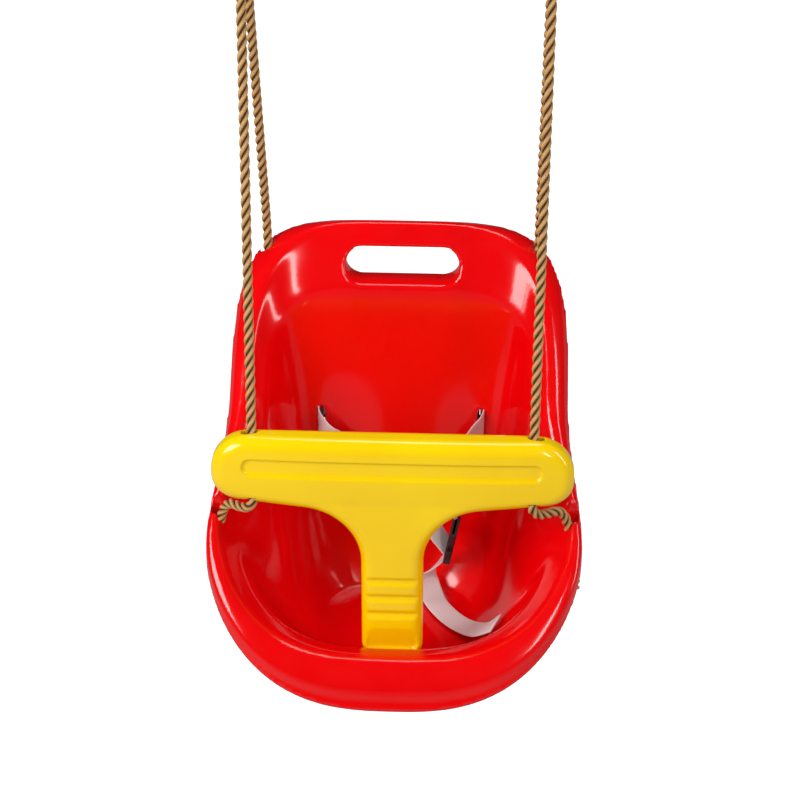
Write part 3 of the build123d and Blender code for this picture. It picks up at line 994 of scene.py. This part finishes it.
@dataclass
class WaistStrap:
    """The white webbing of the waist strap."""

    width: float = 25.0
    thick: float = 1.4
    columns: int = 12
    step: float = 0.0025

    def stations(self) -> dict[str, list[tuple[Point, Point]]]:
        """Middle points of each length of webbing, and how its width lies there."""
        upright = (0, 0, 1)
        return {
            "strap_left": [
                ((54, 42, 99), (0.2, 1, 0.3)), ((45, 44, 112), (0.1, 1, 0.6)),
                ((28, 48, 134), (0.1, 0.8, 0.8)), ((0, 56, 156), (0.2, 0.6, 0.9)),
                ((-30, 66, 178), (0.3, 0.4, 0.9)), ((-56, 78, 197), (0.2, 0.2, 0.95)),
                ((-78, 77, 219), upright), ((-84, 84, 225), upright), ((-84, 137.5, 225), upright),
            ],
            "strap_right": [
                ((84, 137.5, 225), upright), ((84, 84, 225), upright), ((78, 77, 219), upright),
                ((68, 66, 200), (-0.1, 0.4, 0.9)), ((62, 50, 166), (0.1, 0.9, 0.3)),
                ((60.5, 36, 141), (0.1, 1, 0.1)),
            ],
            "strap_tail": [
                ((53, 43.5, 92.5), (0.3, 1, 0)), ((41, 47, 78), (0.5, 0.9, 0.2)),
                ((31, 47, 62), (0.8, 0.6, 0.2)), ((36, 37, 46), (1, 0.4, 0)),
                ((50, 6, 44), (0.85, 0.5, 0)), ((70, -22, 46), (0.8, 0.55, 0.1)),
                ((89, -46, 57), (0.7, 0.65, 0.3)), ((105, -63, 77), (0.4, 0.9, 0.3)),
            ],
        }

    def ribbon(self, name: str, stations: Sequence, finishes: Finishes) -> bpy.types.Object:
        """One length of webbing with rounded selvedges.

        Args:
            name: the length's node name.
            stations: pairs of middle point and width direction.
            finishes: the swing's materials.

        Returns:
            The webbing.
        """
        middles = np.array([place(m)[:] for m, _ in stations])
        widths = np.array([Vector(w).normalized()[:] for _, w in stations])
        knots = np.concatenate([[0.0], np.cumsum(np.linalg.norm(np.diff(middles, axis=0), axis=1))])
        places = np.linspace(0.0, knots[-1], int(knots[-1] / self.step) + 1)
        line = self.eased(middles, knots, places)
        wide = self.eased(widths, knots, places)
        along = np.gradient(line, axis=0)
        along /= np.linalg.norm(along, axis=1)[:, None]
        wide -= along * np.sum(wide * along, axis=1)[:, None]
        wide /= np.linalg.norm(wide, axis=1)[:, None]
        flat = np.cross(along, wide)
        outline = self.outline()
        corners, uvs = [], []
        for number, middle in enumerate(line):
            for x, y in outline:
                corners.append(middle + wide[number] * x * MM + flat[number] * y * MM)
                uvs.append((x / self.width * 3, places[number] * 120))
        strap = mesh_from(f"webbing_{name[6:]}", corners, closed_grid(len(line), len(outline)))
        layer = strap.data.uv_layers.new(name="along")
        for loop in strap.data.loops:
            layer.data[loop.index].uv = uvs[loop.vertex_index]
        dress(strap, finishes.webbing)
        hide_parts(name)
        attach(strap, Body.SWING.value)
        return strap

    def outline(self) -> list[tuple[float, float]]:
        """The webbing's section, with thicker rounded edges."""
        half, thick = self.width / 2, self.thick / 2
        top = [(-half + 0.6 + (2 * half - 1.2) * n / self.columns, thick) for n in range(self.columns + 1)]
        bottom = [(x, -thick) for x, _ in reversed(top)]
        edge = thick * 0.4
        return top + [(half, edge), (half, -edge)] + bottom + [(-half, -edge), (-half, edge)]

    def eased(self, values: np.ndarray, knots: np.ndarray, places: np.ndarray) -> np.ndarray:
        """Smooth values between stations.

        Args:
            values: a value at each station.
            knots: each station's distance along the webbing.
            places: distances wanted.

        Returns:
            A value at each place.
        """
        slopes = np.gradient(values, knots, axis=0)
        out = []
        for where in places:
            row = min(int(np.searchsorted(knots, where, side="right")) - 1, len(knots) - 2)
            span = knots[row + 1] - knots[row]
            t = (where - knots[row]) / span
            out.append(
                (2 * t**3 - 3 * t**2 + 1) * values[row] + (t**3 - 2 * t**2 + t) * span * slopes[row]
                + (3 * t**2 - 2 * t**3) * values[row + 1] + (t**3 - t**2) * span * slopes[row + 1]
            )
        return np.array(out)

    def build(self, finishes: Finishes) -> list[bpy.types.Object]:
        """Makes every length of webbing."""
        return [self.ribbon(name, rows, finishes) for name, rows in self.stations().items()]


@dataclass
class PackedPiece:
    """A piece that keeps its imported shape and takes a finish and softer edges."""

    node: str
    edge: float = 0.0

    def build(self, material: bpy.types.Material) -> bpy.types.Object:
        """Dresses the piece.

        Args:
            material: its finish.

        Returns:
            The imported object.
        """
        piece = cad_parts[self.node]
        dress(piece, material)
        if self.edge:
            bevel = piece.modifiers.new("edges", "BEVEL")
            bevel.width = self.edge
            bevel.segments = 2
            bevel.limit_method = "ANGLE"
            bevel.angle_limit = math.radians(40)
        return piece


# ------------------------------------------------------------------ studio


@dataclass
class Studio:
    """Pale floor, soft lamps and the camera."""

    floor_z: float = -1.32
    aim: Point = (0.0, 0.0, 220.0)
    azimuth: float = 2.7
    elevation: float = 30.0
    distance: float = 2.4
    sensor: float = 36.0
    lens: float = 105.3
    shift: tuple[float, float] = (0.004, 0.0875)
    ambient: float = 0.40
    mirrored: float = 0.02

    def camera(self) -> None:
        """Sets the camera at the viewing angle."""
        across, up = math.radians(self.azimuth), math.radians(self.elevation)
        back = Vector((math.sin(across) * math.cos(up), -math.cos(across) * math.cos(up), math.sin(up)))
        data = bpy.data.cameras.new("camera")
        data.sensor_width = self.sensor
        data.lens = self.lens
        data.shift_x, data.shift_y = self.shift
        camera = bpy.data.objects.new("camera", data)
        bpy.context.scene.collection.objects.link(camera)
        camera.location = place(self.aim) + back * self.distance
        camera.rotation_euler = (-back).to_track_quat("-Z", "Y").to_euler()
        bpy.context.scene.camera = camera

    def lamp(self, name: str, where: Point, size: tuple[float, float], power: float) -> None:
        """Hangs one rectangular softbox that faces the seat.

        Args:
            name: the lamp's name.
            where: its place in metres from the seat's middle.
            size: its width and height in metres.
            power: its power in watts.
        """
        data = bpy.data.lights.new(name, "AREA")
        data.shape = "RECTANGLE"
        data.size, data.size_y = size
        data.energy = power
        lamp = bpy.data.objects.new(name, data)
        bpy.context.scene.collection.objects.link(lamp)
        middle = place((0, 0, 240))
        lamp.location = middle + Vector(where)
        lamp.rotation_euler = (middle - lamp.location).to_track_quat("-Z", "Y").to_euler()

    def world(self) -> None:
        """An even surround that looks white and lights gently."""
        world = bpy.data.worlds.new("surround")
        bpy.context.scene.world = world
        world.use_nodes = True
        nodes, links = world.node_tree.nodes, world.node_tree.links
        ray = nodes.new("ShaderNodeLightPath")
        mirrored = nodes.new("ShaderNodeMapRange")
        mirrored.inputs["To Min"].default_value = self.ambient
        mirrored.inputs["To Max"].default_value = self.mirrored
        links.new(ray.outputs["Is Glossy Ray"], mirrored.inputs["Value"])
        seen = nodes.new("ShaderNodeMapRange")
        seen.inputs["To Max"].default_value = 1.0
        links.new(mirrored.outputs["Result"], seen.inputs["To Min"])
        links.new(ray.outputs["Is Camera Ray"], seen.inputs["Value"])
        links.new(seen.outputs["Result"], nodes["Background"].inputs["Strength"])
        nodes["Background"].inputs["Color"].default_value = (1.0, 1.0, 1.0, 1.0)

    def floor(self) -> None:
        """A wide pale floor well below the swing."""
        half = 30.0
        outline = ((-half, -half), (half, -half), (half, half), (-half, half))
        corners = [(x, y, self.floor_z) for x, y in outline]
        floor = mesh_from("studio_floor", corners, [(0, 1, 2, 3)])
        shader = Shader("pale_floor")
        shader.set(Roughness=0.9, Specular_IOR_Level=0.0)
        grain = shader.noise(shader.coordinates(), 3.0)
        tint = shader.ramp(grain, (0.40, 0.40, 0.40), (0.42, 0.42, 0.42))
        shader.join(tint, shader.surface.inputs["Base Color"])
        shader.set(Emission_Color=(1.0, 1.0, 1.0, 1.0))
        ray = shader.nodes.new("ShaderNodeLightPath")
        shown = shader.spread(ray.outputs["Is Camera Ray"], 0.0, 1.0)
        shader.join(shown, shader.surface.inputs["Emission Strength"])
        dress(floor, shader.material)

    def build(self) -> None:
        """Sets up the whole studio."""
        self.camera()
        self.world()
        self.floor()
        self.lamp("softbox_left", (-1.5, -1.3, 0.9), (1.0, 1.0), 32.0)
        self.lamp("strip_front", (0.9, -1.9, 0.9), (0.25, 0.9), 9.0)
        self.lamp("softbox_top", (0.1, 0.2, 2.2), (1.2, 0.6), 10.0)
        self.lamp("strip_right", (1.7, -0.6, 0.7), (0.16, 1.3), 7.0)
        bpy.context.scene.view_settings.view_transform = "Standard"


def main() -> None:
    """Builds the swing piece by piece."""
    Studio().build()
    finishes = Finishes.mixed()
    ropes = HangingRopes()
    for side in Side:
        LOG.info("made %s", ropes.build(side, finishes).name)
    LOG.info("made %s", BucketSeat().build(finishes).name)
    LOG.info("made %s", SafetyBar().build(finishes).name)
    for strap in WaistStrap().build(finishes):
        LOG.info("made %s", strap.name)
    for node, edge in (("buckle_socket", 0.0008), ("buckle_plug", 0.0006)):
        LOG.info("dressed %s", PackedPiece(node, edge).build(finishes.black).name)
    for side in Side:
        LOG.info("dressed %s", PackedPiece(f"strap_stop_{side.word}", 0.0006).build(finishes.black).name)
        LOG.info("dressed %s", PackedPiece(f"hanging_ring_{side.word}").build(finishes.steel).name)
        LOG.info("dressed %s", PackedPiece(f"thimble_{side.word}", 0.0004).build(finishes.steel).name)
        LOG.info("dressed %s", PackedPiece(f"ferrule_{side.word}", 0.0006).build(finishes.sleeve).name)


if __name__ == "__main__":
    main()
